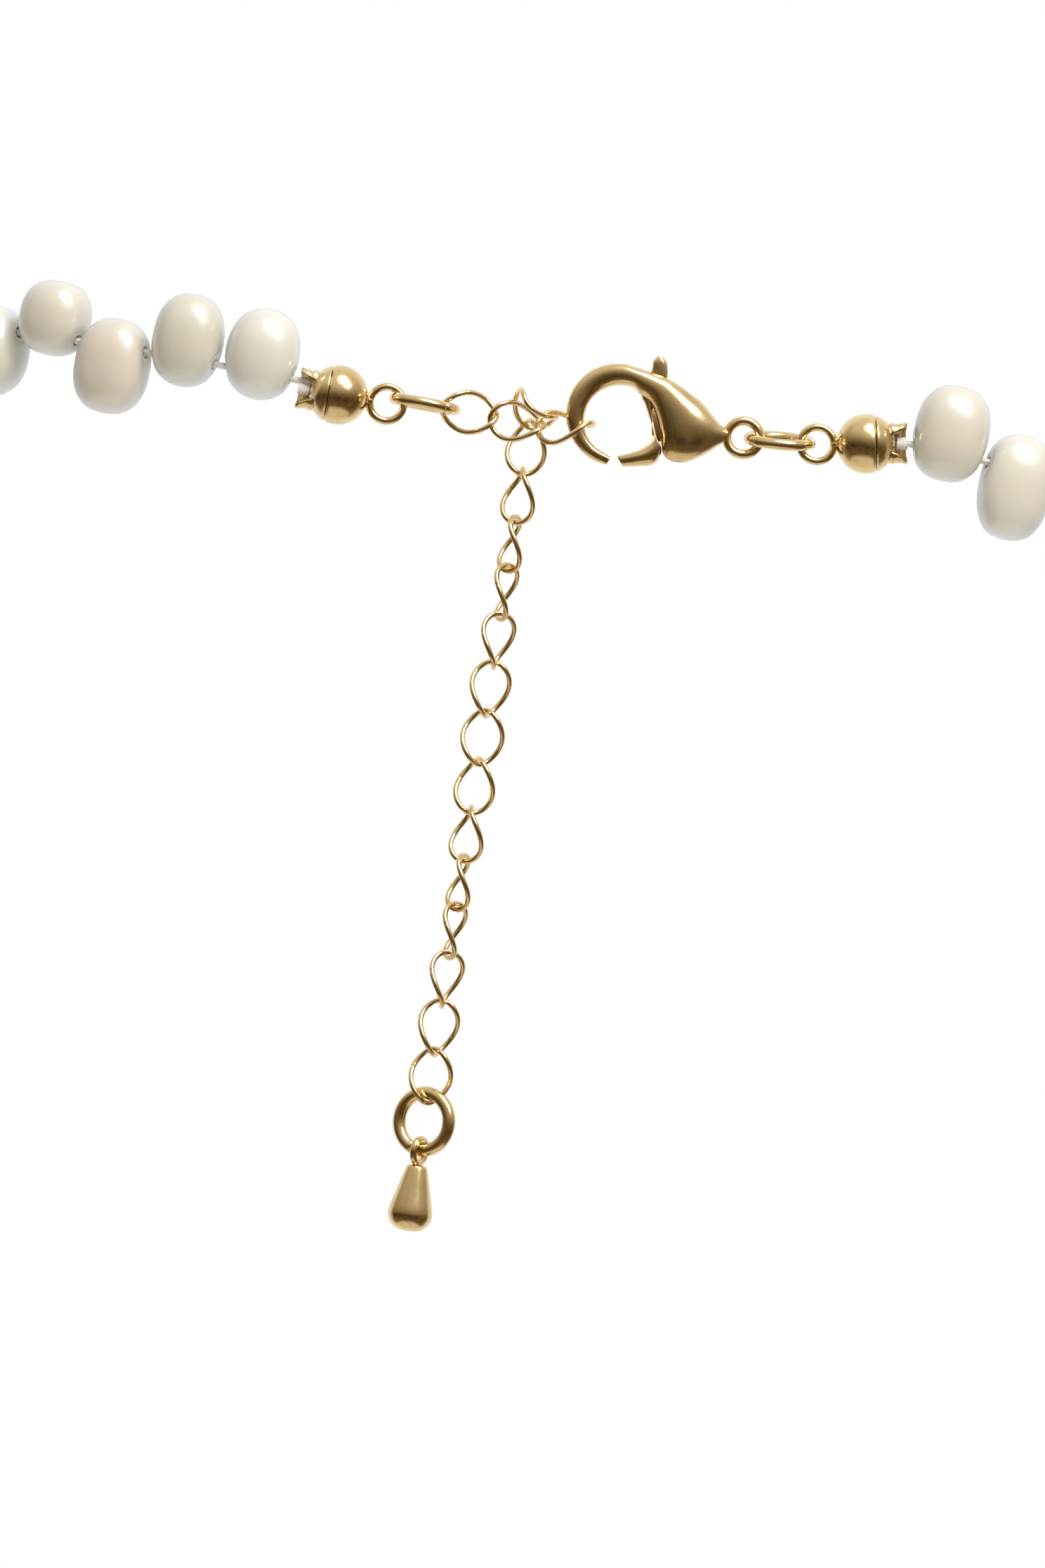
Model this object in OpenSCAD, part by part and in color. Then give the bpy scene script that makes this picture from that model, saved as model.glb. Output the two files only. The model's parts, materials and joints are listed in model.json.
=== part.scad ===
// Pearl necklace with gold bead tips, a lobster clasp and an extender chain,
// hanging closed round a wearer's neck. The nape is at the origin, the clasp
// faces -Y, the strand runs round to the front at +Y, and +Z is up.

/* [Strand] */
// Half of the widest distance across the strand loop
loop_half_w = 60; // [50:1:75]
// Distance from the nape to the front of the loop
loop_depth = 112; // [95:1:140]
// Drop of the front of the loop below the clasp
loop_drop = 108; // [98:1:125]
// Mean width of one pearl along the thread, with its gap
pearl_pitch = 4.73; // [4.2:0.01:5.7]
// Gap left between two neighbouring pearls
pearl_gap = 0.2; // [0.12:0.01:0.3]
// Mean length of a pearl across the thread
pearl_h = 5.9; // [5.3:0.1:7.1]
// How far beside a pearl's centre its hole is drilled
bore_shift = 1.2; // [0.6:0.05:1.3]
// Diameter of the hole drilled in each pearl
bore_d = 0.8; // [0.7:0.05:1]
// Diameter of the silk thread
thread_d = 0.4; // [0.3:0.05:0.5]

/* [Bead tips] */
// Outer diameter of the hollow ball
tip_ball_d = 3.7; // [3.3:0.05:4.4]
// Thickness of the ball's shell
tip_wall = 0.35; // [0.25:0.05:0.45]
// Outer diameter of the closed loop on the ball
tip_loop_d = 2.6; // [2.3:0.05:3.1]
// Wire thickness of that loop
tip_wire_d = 0.48; // [0.4:0.02:0.58]
// Length of the collar that the thread leaves by
tip_collar = 0.6; // [0.4:0.05:0.8]

/* [Jump rings] */
// Outer diameter of each jump ring
jump_ring_d = 4.5; // [3.8:0.05:5.4]
// Wire thickness of the jump rings
jump_wire_d = 0.7; // [0.6:0.02:0.8]

/* [Extender] */
// Outer length of one twisted link
link_len = 3.75; // [3.2:0.05:4.5]
// Outer width of one link
link_w = 2.8; // [2.5:0.05:3.3]
// Wire thickness of the links
link_wire_d = 0.33; // [0.27:0.01:0.38]
// Outer diameter of the ring at the end of the chain
end_ring_d = 4.4; // [4:0.1:5.3]
// Wire thickness of that ring
end_wire_d = 0.83; // [0.7:0.01:1]
// Height of the drop below its loop
drop_h = 4.2; // [3.5:0.1:5]
// Widest diameter of the drop
drop_d = 2.8; // [2.3:0.1:3.4]
// Running gap between linked rings
link_gap = 0.05; // [0.04:0.01:0.1]

/* [Clasp] */
// Radius of the round space inside the hook
hook_hole_r = 2.2; // [2:0.05:2.6]
// Thickness of the hook where it leaves the body
hook_wire = 1; // [0.8:0.05:1.2]
// Thickness of the clasp body, front to back
clasp_t = 2.6; // [2.4:0.05:3.1]
// Thickness of the sprung lever
lever_t = 1; // [0.8:0.05:1.2]
// Diameter of the rivet that the lever turns on
rivet_d = 0.8; // [0.6:0.05:0.9]
// Outer diameter of the eye at the clasp's end
eye_d = 2.66; // [2.4:0.02:3]
// Diameter of the hole in that eye
eye_hole_d = 1.5; // [1.3:0.02:1.7]

/* [Hidden] */
$fn = 48;
LINK_COUNT = 18;
HUNG = 14;               // links that hang below the closure
STATIONS = [4, 12, 22, 32];
nodes_links = ["extender_link_01", "extender_link_02", "extender_link_03", "extender_link_04",
    "extender_link_05", "extender_link_06", "extender_link_07", "extender_link_08",
    "extender_link_09", "extender_link_10", "extender_link_11", "extender_link_12",
    "extender_link_13", "extender_link_14", "extender_link_15", "extender_link_16",
    "extender_link_17", "extender_link_18"];
GOLD = "goldenrod";
PEARL = "ivory";
SILK = "white";
LEFT = -1;
RIGHT = 1;

// ---- the closure, laid out from the sizes of what links with what ----

// Level of the closure at the bead tips, and how far it sags to link 2
tip_level_l = -0.1;
tip_level_r = 1.4;
sag_level = -0.5;
// Angle by which each bead tip rises towards its pearls
function tip_rise(side) = side == LEFT ? 2 : 9;
// Wire-centre radii
tip_loop_r = (tip_loop_d - tip_wire_d) / 2;
jump_r = (jump_ring_d - jump_wire_d) / 2;
link_l = (link_len - link_wire_d) / 2;
link_a = (link_w - link_wire_d) / 2;
end_r = (end_ring_d - end_wire_d) / 2;
eye_r = (eye_d + eye_hole_d) / 4;
eye_wire_d = (eye_d - eye_hole_d) / 2;
link_pitch = 2 * link_l - link_wire_d - link_gap;
// Distance between the wire centres of two linked wires
function touch(wire_a, wire_b) = (wire_a + wire_b) / 2 + link_gap;

tip_neck = 0.1;
ball_to_loop = tip_ball_d / 2 + tip_loop_d / 2 - tip_neck;
// The bead tips' balls stand this far from the middle
ball_x = 16.4;
function loop_x(side) = side * (ball_x - ball_to_loop * cos(tip_rise(side)));
ring_left_x = loop_x(LEFT) + tip_loop_r - touch(tip_wire_d, jump_wire_d) + jump_r;
// Slack that the first link has in its jump ring
ring_slack = 0.25;
link_1_x = ring_left_x + jump_r - touch(jump_wire_d, link_wire_d) - ring_slack + link_l;
link_2_x = link_1_x + link_pitch;
link_3_x = link_2_x + link_pitch - link_gap;
ring_right_x = loop_x(RIGHT) - tip_loop_r + touch(tip_wire_d, jump_wire_d) - jump_r;
eye_x = ring_right_x - jump_r + touch(jump_wire_d, eye_wire_d) - eye_r;
// Where the clasp's hook hole has its centre, from the eye back
hook_to_eye = 7.75;
hook_x = eye_x - hook_to_eye;
hook_z = 0.5;
eye_z = 0.62;

function level(x) = x < link_2_x
    ? tip_level_l + (sag_level - tip_level_l) * (x + ball_x) / (link_2_x + ball_x)
    : sag_level + (tip_level_r - sag_level) * (x - link_2_x) / (ball_x - link_2_x);

// Height of the loop on a bead tip
function loop_z(side) = level(side * ball_x) - ball_to_loop * sin(tip_rise(side));

// ---- sweeping a round wire or thread ----

function unit(v) = v / norm(v);
function ring_points(p, u, v, r, sides) =
    [for (k = [0:sides - 1]) p + r * (cos(360 * k / sides) * u + sin(360 * k / sides) * v)];

// A closed loop of wire through the points, which circle the centre
module wire_loop(points, centre, d, sides = 8) {
    n = len(points);
    rings = [for (i = [0:n - 1])
        let (t = unit(points[(i + 1) % n] - points[(i + n - 1) % n]),
             u = unit(cross(t, points[i] - centre)),
             v = cross(t, u))
        each ring_points(points[i], u, v, d / 2, sides)];
    faces = [for (i = [0:n - 1], k = [0:sides - 1])
        let (j = (i + 1) % n, m = (k + 1) % sides)
        each [[i * sides + k, i * sides + m, j * sides + m],
              [i * sides + k, j * sides + m, j * sides + k]]];
    polyhedron(points = rings, faces = faces);
}

// An open thread through the points
module thread(points, d, sides = 8) {
    n = len(points);
    up = [0, 0, 1];
    rings = [for (i = [0:n - 1])
        let (t = unit(points[min(i + 1, n - 1)] - points[max(i - 1, 0)]),
             u = unit(cross(up, t)),
             v = cross(t, u))
        each ring_points(points[i], u, v, d / 2, sides)];
    sides_faces = [for (i = [0:n - 2], k = [0:sides - 1])
        let (m = (k + 1) % sides)
        each [[i * sides + k, (i + 1) * sides + m, i * sides + m],
              [i * sides + k, (i + 1) * sides + k, (i + 1) * sides + m]]];
    start_face = [[for (k = [0:sides - 1]) k]];
    end_face = [[for (k = [sides - 1:-1:0]) (n - 1) * sides + k]];
    polyhedron(points = rings, faces = concat(sides_faces, start_face, end_face));
}

// ---- chain links ----

// Each link is an oval of wire twisted a quarter turn from end to end
link_twist = 45;
function link_points(centre, axis, roll, ref) =
    let (k = unit(axis),
         u = unit(ref - k * (ref * k)),
         v = cross(k, u),
         x = cos(roll) * u + sin(roll) * v,
         y = cos(roll) * v - sin(roll) * u)
    [for (i = [0:23])
        let (t = 15 * i, a = -link_twist * sin(t))
        centre + link_a * cos(t) * (cos(a) * x + sin(a) * y) + link_l * sin(t) * k];

module chain_link(centre, axis, roll, ref = [0, 1, 0])
    color(GOLD) wire_loop(link_points(centre, axis, roll, ref), centre, link_wire_d);

function tilted(angle) = [cos(angle), 0, sin(angle)];
// Link 3 climbs from the sagging link 2 into the hook
link_3_z = sag_level + 0.32;
link_3_tilt = 13.2;
// The loose link leans on link 2, with one end through link 3
link_3_left = [link_3_x, 0, link_3_z] - link_l * tilted(link_3_tilt);
loose_lean = [-0.4128, -0.7831, 0.4652];
loose_centre = link_3_left + link_l * [-0.332, 0.277, 0.47];
// The hanging part of the chain
hang_x = loose_centre[0] + 0.024 * link_l;
hang_y = loose_centre[1] + 0.575 * link_l;
hang_z = loose_centre[2] - 1.266 * link_l;
hang_roll = -25.7;
module hung_link(i)
    chain_link([hang_x, hang_y, hang_z - i * link_pitch], [0, 0, 1], hang_roll * (i - 6), [1, 0, 0]);

module extender_link(i) {
    if (i == 0) chain_link([link_1_x, 0, level(link_1_x)], tilted(0.5), 90);
    if (i == 1) chain_link([link_2_x, 0, sag_level], tilted(1), 64);
    if (i == 2) chain_link([link_3_x, 0, link_3_z], tilted(link_3_tilt), 34);
    if (i == 3) chain_link(loose_centre, loose_lean, 213.6);
    if (i > 3) hung_link(i - 4);
}

// A ring of round wire lying in its own XY plane
module wire_ring(r, d)
    rotate_extrude() translate([r, 0]) circle(d = d, $fn = 24);

last_wire_z = hang_z - (HUNG - 1) * link_pitch - link_l;
end_ring_z = last_wire_z + touch(link_wire_d, end_wire_d) - end_r;
end_ring_turn = -30;
module extender_end_ring()
    color(GOLD) translate([hang_x, hang_y, end_ring_z])
        rotate([0, 0, end_ring_turn]) rotate([90, 0, 0]) wire_ring(end_r, end_wire_d);

drop_loop_wire = 0.42;
drop_loop_r = end_wire_d / 2 + drop_loop_wire / 2 + 0.11;
drop_loop_z = end_ring_z - end_r + touch(end_wire_d, drop_loop_wire) - drop_loop_r;
drop_top_z = drop_loop_z - drop_loop_r - drop_loop_wire / 2 + 0.1;
drop_top_d = 1.5;
module extender_drop()
    color(GOLD) translate([hang_x, hang_y, 0]) {
        translate([0, 0, drop_loop_z])
            rotate([0, 0, end_ring_turn + 90]) rotate([90, 0, 0]) wire_ring(drop_loop_r, drop_loop_wire);
        translate([0, 0, drop_top_z - drop_h])
            rotate_extrude() intersection() {
                union() {
                    translate([0, drop_d / 2]) circle(d = drop_d);
                    polygon([[0, drop_d / 2], [drop_d / 2, drop_d / 2], [drop_top_d / 2, drop_h], [0, drop_h]]);
                }
                square([drop_d, drop_h]);
            }
    }

// ---- jump rings ----

module jump_ring_left()
    color(GOLD) translate([ring_left_x, 0, level(ring_left_x)])
        rotate([0, 2, 0]) wire_ring(jump_r, jump_wire_d);

module jump_ring_right()
    color(GOLD) translate([ring_right_x, 0, (eye_z + loop_z(RIGHT)) / 2])
        rotate([9, 0, 0]) rotate([0, -3.6, 0]) wire_ring(jump_r, jump_wire_d);

// ---- bead tips: a hollow ball in two halves, with a loop on one side ----

shell_seam = 0.55;
shell_gap = 0.05;
collar_h = 2.6;
collar_w = 1.8;
knot_d = 1.5;
tip_far = tip_ball_d / 2 + tip_collar;
module ball_shell() {
    difference() {
        sphere(d = tip_ball_d);
        sphere(d = tip_ball_d - 2 * tip_wall);
    }
}

// Places a bead tip, with its own +X pointing towards the pearls
module at_tip(side)
    translate([side * ball_x, 0, level(side * ball_x)])
        rotate([0, -side * tip_rise(side), 0]) rotate([0, 0, side == LEFT ? 180 : 0]) children();

module bead_tip(side)
    color(GOLD) at_tip(side) {
        difference() {
            ball_shell();
            translate([shell_seam, -5, -5]) cube(10);
        }
        translate([-ball_to_loop, 0, 0]) rotate([90, 0, 0]) wire_ring(tip_loop_r, tip_wire_d);
    }

module tip_cover(side)
    color(GOLD) at_tip(side) difference() {
        union() {
            ball_shell();
            difference() {
                translate([0, -collar_w / 2, -collar_h / 2]) cube([tip_far, collar_w, collar_h]);
                sphere(d = tip_ball_d - tip_wall);
            }
        }
        translate([shell_seam + shell_gap - 10, -5, -5]) cube(10);
        rotate([0, 90, 0]) cylinder(h = 5, d = bore_d);
    }

knot_x = tip_ball_d / 2 - tip_wall - knot_d / 2 - 0.12;
module end_knot(side)
    color(SILK) at_tip(side) translate([knot_x, 0, 0]) sphere(d = knot_d);

// ---- the strand's path ----

strand_x = ball_x + tip_far + pearl_gap;
strand_level = 0.65;
flat_turn = 25;          // the strand stays level over this first turn
function lift(side) = level(side * ball_x) + tip_far * sin(tip_rise(side)) - strand_level;
// A point of the path, for a turn of 0 at the clasp to 180 at the front
function loop_point(turn) =
    let (fall = max(0, (turn - flat_turn) / (180 - flat_turn)))
    [turn < 90 ? strand_x + (loop_half_w - strand_x) * sin(turn) : loop_half_w * sin(turn),
     loop_depth / 2 * (1 - cos(turn)),
     strand_level - (loop_drop + strand_level) * (1 - cos(180 * fall)) / 2];
path_steps = 360;
path_table = [for (i = 0, run = 0; i <= path_steps;
        i = i + 1,
        run = run + norm(loop_point(180 * i / path_steps) - loop_point(180 * (i - 1) / path_steps)))
    [run, 180 * i / path_steps]];
half_len = path_table[path_steps][0];
blend_len = 30;          // the two ends' different levels even out over this length
function on_path(side, s) =
    let (p = loop_point(lookup(s, path_table)), rest = max(0, 1 - s / blend_len))
    [side * p[0], p[1], p[2] + lift(side) * rest * rest];

// ---- pearls ----

pearl_count = round(half_len / pearl_pitch);
// The pearls beside the clasp are their own sizes, the rest vary by rule
first_w = [[1.04, 0.985, 0.99, 0.94, 0.985], [1.02, 0.95, 0.97, 1, 1]];
first_h = [[0.98, 1, 1.02, 0.81, 0.97], [1.03, 1.13, 1, 0.95, 1.02]];
first_side = [[1, 1, -1, 1, -1], [1, -1, 1, -1, 1]];
function row(side) = side == LEFT ? 0 : 1;
function width_share(side, i) = i < 5 ? first_w[row(side)][i] : 1 + 0.035 * sin(137 * i);
function shares(side) = [for (i = 0, run = 0; i <= pearl_count;
    i = i + 1, run = run + width_share(side, i - 1)) run];
share_left = shares(LEFT);
share_right = shares(RIGHT);
function share(side) = side == LEFT ? share_left : share_right;
function edge(side, i) = on_path(side, half_len * share(side)[i] / share(side)[pearl_count]);
function height_of(side, i) = pearl_h * (i < 5 ? first_h[row(side)][i] : 1 + 0.06 * sin(211 * i + 90 * side));
function by_hinge(i) = len([for (h = STATIONS) if (h > 4 && (i == h || i == h - 1)) h]) > 0;
function shift_of(side, i) = by_hinge(i) ? -bore_shift
    : i < 5 ? first_side[row(side)][i] * bore_shift
    : bore_shift * (sin(97 * i + 40 * side) > 0 ? 1 : -1) * (0.8 + 0.2 * sin(53 * i));
function roll_of(side, i) = by_hinge(i) || i < 4 ? 0 : 25 * sin(59 * i + 70 * side);

// The two left pearls by the bead tip stand on the same side, so they need more
// room to turn, and so does the right one by its tip, which rises more steeply
pair_room = 0.24;
tip_room = 0.1;
function gap_of(side, i) = pearl_gap
    + (side == LEFT && i < 2 ? pair_room : side == RIGHT && i == 0 ? tip_room : 0);

// A potato pearl: a rounded body, longer across its hole than along it
module pearl(side, i) {
    a = edge(side, i);
    b = edge(side, i + 1);
    d = b - a;
    r = (norm(d) - gap_of(side, i)) / 2;
    stretch = max(0.05, height_of(side, i) / 2 - r);
    translate((a + b) / 2)
        rotate([roll_of(side, i), -asin(d[2] / norm(d)), atan2(d[1], d[0])])
            difference() {
                translate([0, 0, shift_of(side, i)]) {
                    for (z = [-stretch, stretch]) translate([0, 0, z]) sphere(r = r);
                    translate([0, 0, -stretch]) cylinder(r = r, h = 2 * stretch);
                }
                rotate([0, 90, 0]) cylinder(d = bore_d, h = 2 * norm(d), center = true);
            }
}

module pearls(side, first, last)
    color(PEARL) for (i = [first:last]) pearl(side, i);

module front_pearls() {
    pearls(LEFT, STATIONS[3], pearl_count - 1);
    pearls(RIGHT, STATIONS[3], pearl_count - 1);
}

// ---- thread ----

thread_gap = 0.06;
// Where the thread leaves the knot, in the tip's own line
function knot_exit(side) =
    let (rise = tip_rise(side), out = knot_x + knot_d / 2 + 0.04)
    [side * (ball_x + out * cos(rise)), 0, level(side * ball_x) + out * sin(rise)];

module strand_thread(side, first, last) {
    inner = [for (i = [first:last]) edge(side, i)];
    n = len(inner);
    into = first == 0 ? [knot_exit(side)] : [];
    trimmed = [for (i = [0:n - 1])
        i == 0 && first > 0 ? inner[0] + thread_gap * unit(inner[1] - inner[0])
        : i == n - 1 ? inner[i] + thread_gap * unit(inner[i - 1] - inner[i])
        : inner[i]];
    color(SILK) thread(concat(into, trimmed), thread_d);
}

module front_thread() {
    n = pearl_count;
    left = [for (i = [STATIONS[3]:n]) edge(LEFT, i)];
    right = [for (i = [n - 1:-1:STATIONS[3]]) edge(RIGHT, i)];
    all = concat(left, right);
    m = len(all);
    color(SILK) thread([for (i = [0:m - 1])
        i == 0 ? all[0] + thread_gap * unit(all[1] - all[0])
        : i == m - 1 ? all[i] + thread_gap * unit(all[i - 1] - all[i])
        : all[i]], thread_d);
}

// ---- lobster clasp, in a frame with its origin at the hook hole's centre ----

hook_back = 0.2;         // the hook's outside circle is set back by this
hook_rise = 0.35;
hook_out_r = hook_hole_r + 0.98;   // the hook is widest at its back
body_top = hook_hole_r + 1.3;
rivet_at = [3.3, 0.4];
slot_t = lever_t + 0.3;
lever_clear = 0.05;      // round the rivet, on every side
module at_clasp()
    translate([hook_x, 0, hook_z]) rotate([90, 0, 0]) children();

module plate(t) linear_extrude(height = t, center = true) children();

module hook_outline() difference() {
    translate([-hook_back, hook_rise]) circle(r = hook_out_r);
    circle(r = hook_hole_r);
    // the mouth, closed by the lever
    polygon([[-0.41, -1.9], [0.1, -2.9], [0.5, -6], [6, -6], [6, 6], [0.7, 6], [0.7, 1.5], [0, 0]]);
}

module body_outline() polygon([[0.3, hook_hole_r - 0.15], [0.3, body_top], [1.45, 3.35], [2.66, 3.07],
    [3.23, 2.83], [4.04, 2.42], [4.99, 1.82], [5.61, 1.22], [6.5, 0.5], [6.62, -0.4], [5.84, -0.99],
    [5.08, -1.58], [4.29, -2], [3.19, -2.14], [2.91, -1.06], [2.38, 0.35], [1.75, 1.33], [0.93, 1.84]]);

module slot_outline() polygon([[0.9, 1.2], [0.95, 4], [4.7, 4], [4.45, 2.2], [4.45, -0.8], [4, -2.8], [0, -2.8]]);

module clasp_body()
    color(GOLD) at_clasp() difference() {
        union() {
            plate(hook_wire) hook_outline();
            plate(clasp_t) body_outline();
            translate([hook_to_eye, eye_z - hook_z]) wire_ring(eye_r, eye_wire_d);
        }
        plate(slot_t) slot_outline();
        translate(rivet_at) cylinder(d = rivet_d + 0.04, h = 2 * clasp_t, center = true);
    }

module lever_outline() polygon([[0.15, -2.17], [0.85, -1.89], [1.74, -1.4], [2.25, -0.75], [1.85, 0.37],
    [1.2, 1.5], [1.4, 2.3], [1.45, 3.3], [1.49, 4.06], [1.82, 4.38], [2.34, 4.14], [2.55, 3.2], [3, 2],
    [3.98, 0.9], [3.98, -0.3], [3.5, -1.2], [2.97, -2.14], [1.8, -2.53], [0.61, -2.78]]);

module clasp_lever()
    color(GOLD) at_clasp() difference() {
        plate(lever_t) lever_outline();
        translate(rivet_at) cylinder(d = rivet_d + 2 * lever_clear, h = 2 * clasp_t, center = true);
    }

module clasp_rivet()
    color(GOLD) at_clasp() translate(rivet_at) cylinder(d = rivet_d, h = clasp_t - 0.1, center = true);

module clasp_spring()
    color("silver") at_clasp() plate(lever_t - 0.2)
        polygon([[4.2, 1.6], [4.36, 1.6], [4.36, -0.6], [4.2, -0.6]]);

clasp_body();
clasp_lever();
clasp_rivet();
clasp_spring();
jump_ring_left();
jump_ring_right();
bead_tip(LEFT);  // bead_tip_left
bead_tip(RIGHT);  // bead_tip_right
tip_cover(LEFT);  // tip_cover_left
tip_cover(RIGHT);  // tip_cover_right
end_knot(LEFT);  // end_knot_left
end_knot(RIGHT);  // end_knot_right
for (i = [0:LINK_COUNT - 1])
    extender_link(i);
extender_end_ring();
extender_drop();
pearls(LEFT, 0, 0);  // pearl_left_1
pearls(LEFT, 1, 1);  // pearl_left_2
pearls(LEFT, 2, 2);  // pearl_left_3
pearls(LEFT, 3, 3);  // pearl_left_4
pearls(RIGHT, 0, 0);  // pearl_right_1
pearls(RIGHT, 1, 1);  // pearl_right_2
pearls(RIGHT, 2, 2);  // pearl_right_3
pearls(RIGHT, 3, 3);  // pearl_right_4
pearls(LEFT, STATIONS[0], STATIONS[1] - 1);  // nape_pearls_left
pearls(RIGHT, STATIONS[0], STATIONS[1] - 1);  // nape_pearls_right
pearls(LEFT, STATIONS[1], STATIONS[2] - 1);  // shoulder_pearls_left
pearls(RIGHT, STATIONS[1], STATIONS[2] - 1);  // shoulder_pearls_right
pearls(LEFT, STATIONS[2], STATIONS[3] - 1);  // side_pearls_left
pearls(RIGHT, STATIONS[2], STATIONS[3] - 1);  // side_pearls_right
front_pearls();
strand_thread(LEFT, 0, STATIONS[1]);  // nape_thread_left
strand_thread(RIGHT, 0, STATIONS[1]);  // nape_thread_right
strand_thread(LEFT, STATIONS[1], STATIONS[2]);  // shoulder_thread_left
strand_thread(RIGHT, STATIONS[1], STATIONS[2]);  // shoulder_thread_right
strand_thread(LEFT, STATIONS[2], STATIONS[3]);  // side_thread_left
strand_thread(RIGHT, STATIONS[2], STATIONS[3]);  // side_thread_right
front_thread();
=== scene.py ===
import json
import math
import random

import bmesh
import bpy
import numpy as np
from mathutils import Matrix, Vector


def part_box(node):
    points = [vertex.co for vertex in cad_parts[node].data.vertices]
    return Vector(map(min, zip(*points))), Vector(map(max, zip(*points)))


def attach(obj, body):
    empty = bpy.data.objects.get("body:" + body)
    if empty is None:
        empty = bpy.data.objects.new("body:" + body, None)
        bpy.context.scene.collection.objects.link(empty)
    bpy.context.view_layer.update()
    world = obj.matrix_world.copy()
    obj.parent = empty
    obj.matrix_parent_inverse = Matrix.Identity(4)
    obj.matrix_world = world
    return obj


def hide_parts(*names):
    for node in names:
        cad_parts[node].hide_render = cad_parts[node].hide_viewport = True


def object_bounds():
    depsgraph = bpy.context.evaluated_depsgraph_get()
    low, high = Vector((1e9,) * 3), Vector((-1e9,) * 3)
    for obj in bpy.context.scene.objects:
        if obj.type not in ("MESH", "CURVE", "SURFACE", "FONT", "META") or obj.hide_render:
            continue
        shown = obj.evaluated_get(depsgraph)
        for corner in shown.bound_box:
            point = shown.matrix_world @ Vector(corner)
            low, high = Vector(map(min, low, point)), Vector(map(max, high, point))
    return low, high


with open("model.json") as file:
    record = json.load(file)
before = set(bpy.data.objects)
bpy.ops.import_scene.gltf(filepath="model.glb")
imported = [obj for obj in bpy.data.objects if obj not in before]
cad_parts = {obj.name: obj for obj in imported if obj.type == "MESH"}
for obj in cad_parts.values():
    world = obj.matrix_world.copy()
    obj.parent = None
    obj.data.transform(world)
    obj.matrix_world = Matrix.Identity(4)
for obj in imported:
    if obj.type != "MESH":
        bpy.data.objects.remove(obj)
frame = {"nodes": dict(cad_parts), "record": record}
cad_box = [list(corner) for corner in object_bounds()]
MM = 0.001  # every size below is in millimetres

# ---- pearls ----
# Eighty-eight freshwater potato pearls, drilled across their short way and off
# their middle, so that they stand staggered on the silk. Their skin is nacre: a
# soft gloss over cream, with a little green, grey and pink from one to the next.

PEARL_FULLNESS = 2.3  # 2 would be a plain egg, more is squarer
PEARL_TOUCH = 0.14  # each pearl is this much wider than its solid, to meet the next
TURNING_TOUCH = 0.09  # less for the pearls that can be turned on the silk
PEARL_ROUND = 48
PEARL_STEPS = 30
HALVINGS = 30  # how often a pearl's surface is halved in on
DRILL_R = 0.4
WALL_AHEAD = 0.1  # a face with this much pearl ahead of it is the drilled hole's wall
SLIVER = 1e-7
DIMPLE_DEEP = 0.1
DIMPLE_WIDE = 0.3
RING_DEEP = 0.008
LUMPS = 4
LUMP_DEEP = (0.002, 0.009)
CORE_SHARE = 0.75  # how far along the hole the bore's wall is drawn

home = {
    node: body
    for body, nodes in frame["record"]["behaviour"]["bodies"].items()
    for node in nodes
}


def face_out(mesh):
    """Turn every face of a closed mesh outward."""
    shape = bmesh.new()
    shape.from_mesh(mesh)
    bmesh.ops.recalc_face_normals(shape, faces=shape.faces)
    shape.to_mesh(mesh)
    shape.free()


def unit(v):
    return v / np.linalg.norm(v, axis=-1, keepdims=True)


def solids(name):
    """The separate solids of a CAD node: points, and each face's middle, normal and area."""
    mesh = frame["nodes"][name].data
    flat = np.empty(len(mesh.vertices) * 3)
    mesh.vertices.foreach_get("co", flat)
    spots, welded = np.unique(
        np.round(flat.reshape(-1, 3) / MM, 4), axis=0, return_inverse=True
    )
    mesh.calc_loop_triangles()
    corners = np.empty(len(mesh.loop_triangles) * 3, np.int32)
    mesh.loop_triangles.foreach_get("vertices", corners)
    corners = welded.ravel()[corners.reshape(-1, 3)]
    label = np.arange(len(spots))
    while True:
        lower = label.copy()
        np.minimum.at(lower, corners.ravel(), np.repeat(label[corners].min(1), 3))
        if (lower == label).all():
            break
        label = lower
    found = []
    for one in np.unique(label):
        own = corners[label[corners[:, 0]] == one]
        a, b, c = spots[own[:, 0]], spots[own[:, 1]], spots[own[:, 2]]
        normal = np.cross(b - a, c - a)
        area = np.linalg.norm(normal, axis=1)
        keep = area > SLIVER
        found.append(
            (
                spots[label == one],
                ((a + b + c) / 3)[keep],
                normal[keep] / area[keep, None],
                area[keep],
            )
        )
    return found


def middle(points, *axes):
    """The middle of the points' extent along each axis, and half of each extent."""
    reach = [points @ axis for axis in axes]
    place = sum((r.max() + r.min()) / 2 * axis for r, axis in zip(reach, axes))
    return place, [(r.max() - r.min()) / 2 for r in reach]


def pearl_places(name):
    """Where each drilled pearl sits: its middle, drilling line, long way and half sizes."""
    places = []
    for points, centres, normals, areas in solids(name):
        ahead = (points @ normals.T - (centres * normals).sum(1)).max(0)
        wall = ahead > WALL_AHEAD
        n, c, w = normals[wall], centres[wall], areas[wall, None]
        along = np.linalg.eigh((n * w).T @ n)[1][:, 0]
        side = unit(np.cross(along, n[0]))
        centre, _ = middle(points, along, side, np.cross(along, side))
        across = np.cross(along, n)
        level = (across * w).T @ across + np.outer(along, along)
        hole = np.linalg.solve(
            level,
            ((across * w) * (across * c).sum(1)[:, None]).sum(0)
            + along * (along @ centre),
        )
        up = unit(centre - hole)
        _, (half_w, half_h) = middle(points, along, up)
        places.append((centre, hole, along, up, half_w, half_h))
    return places


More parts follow.
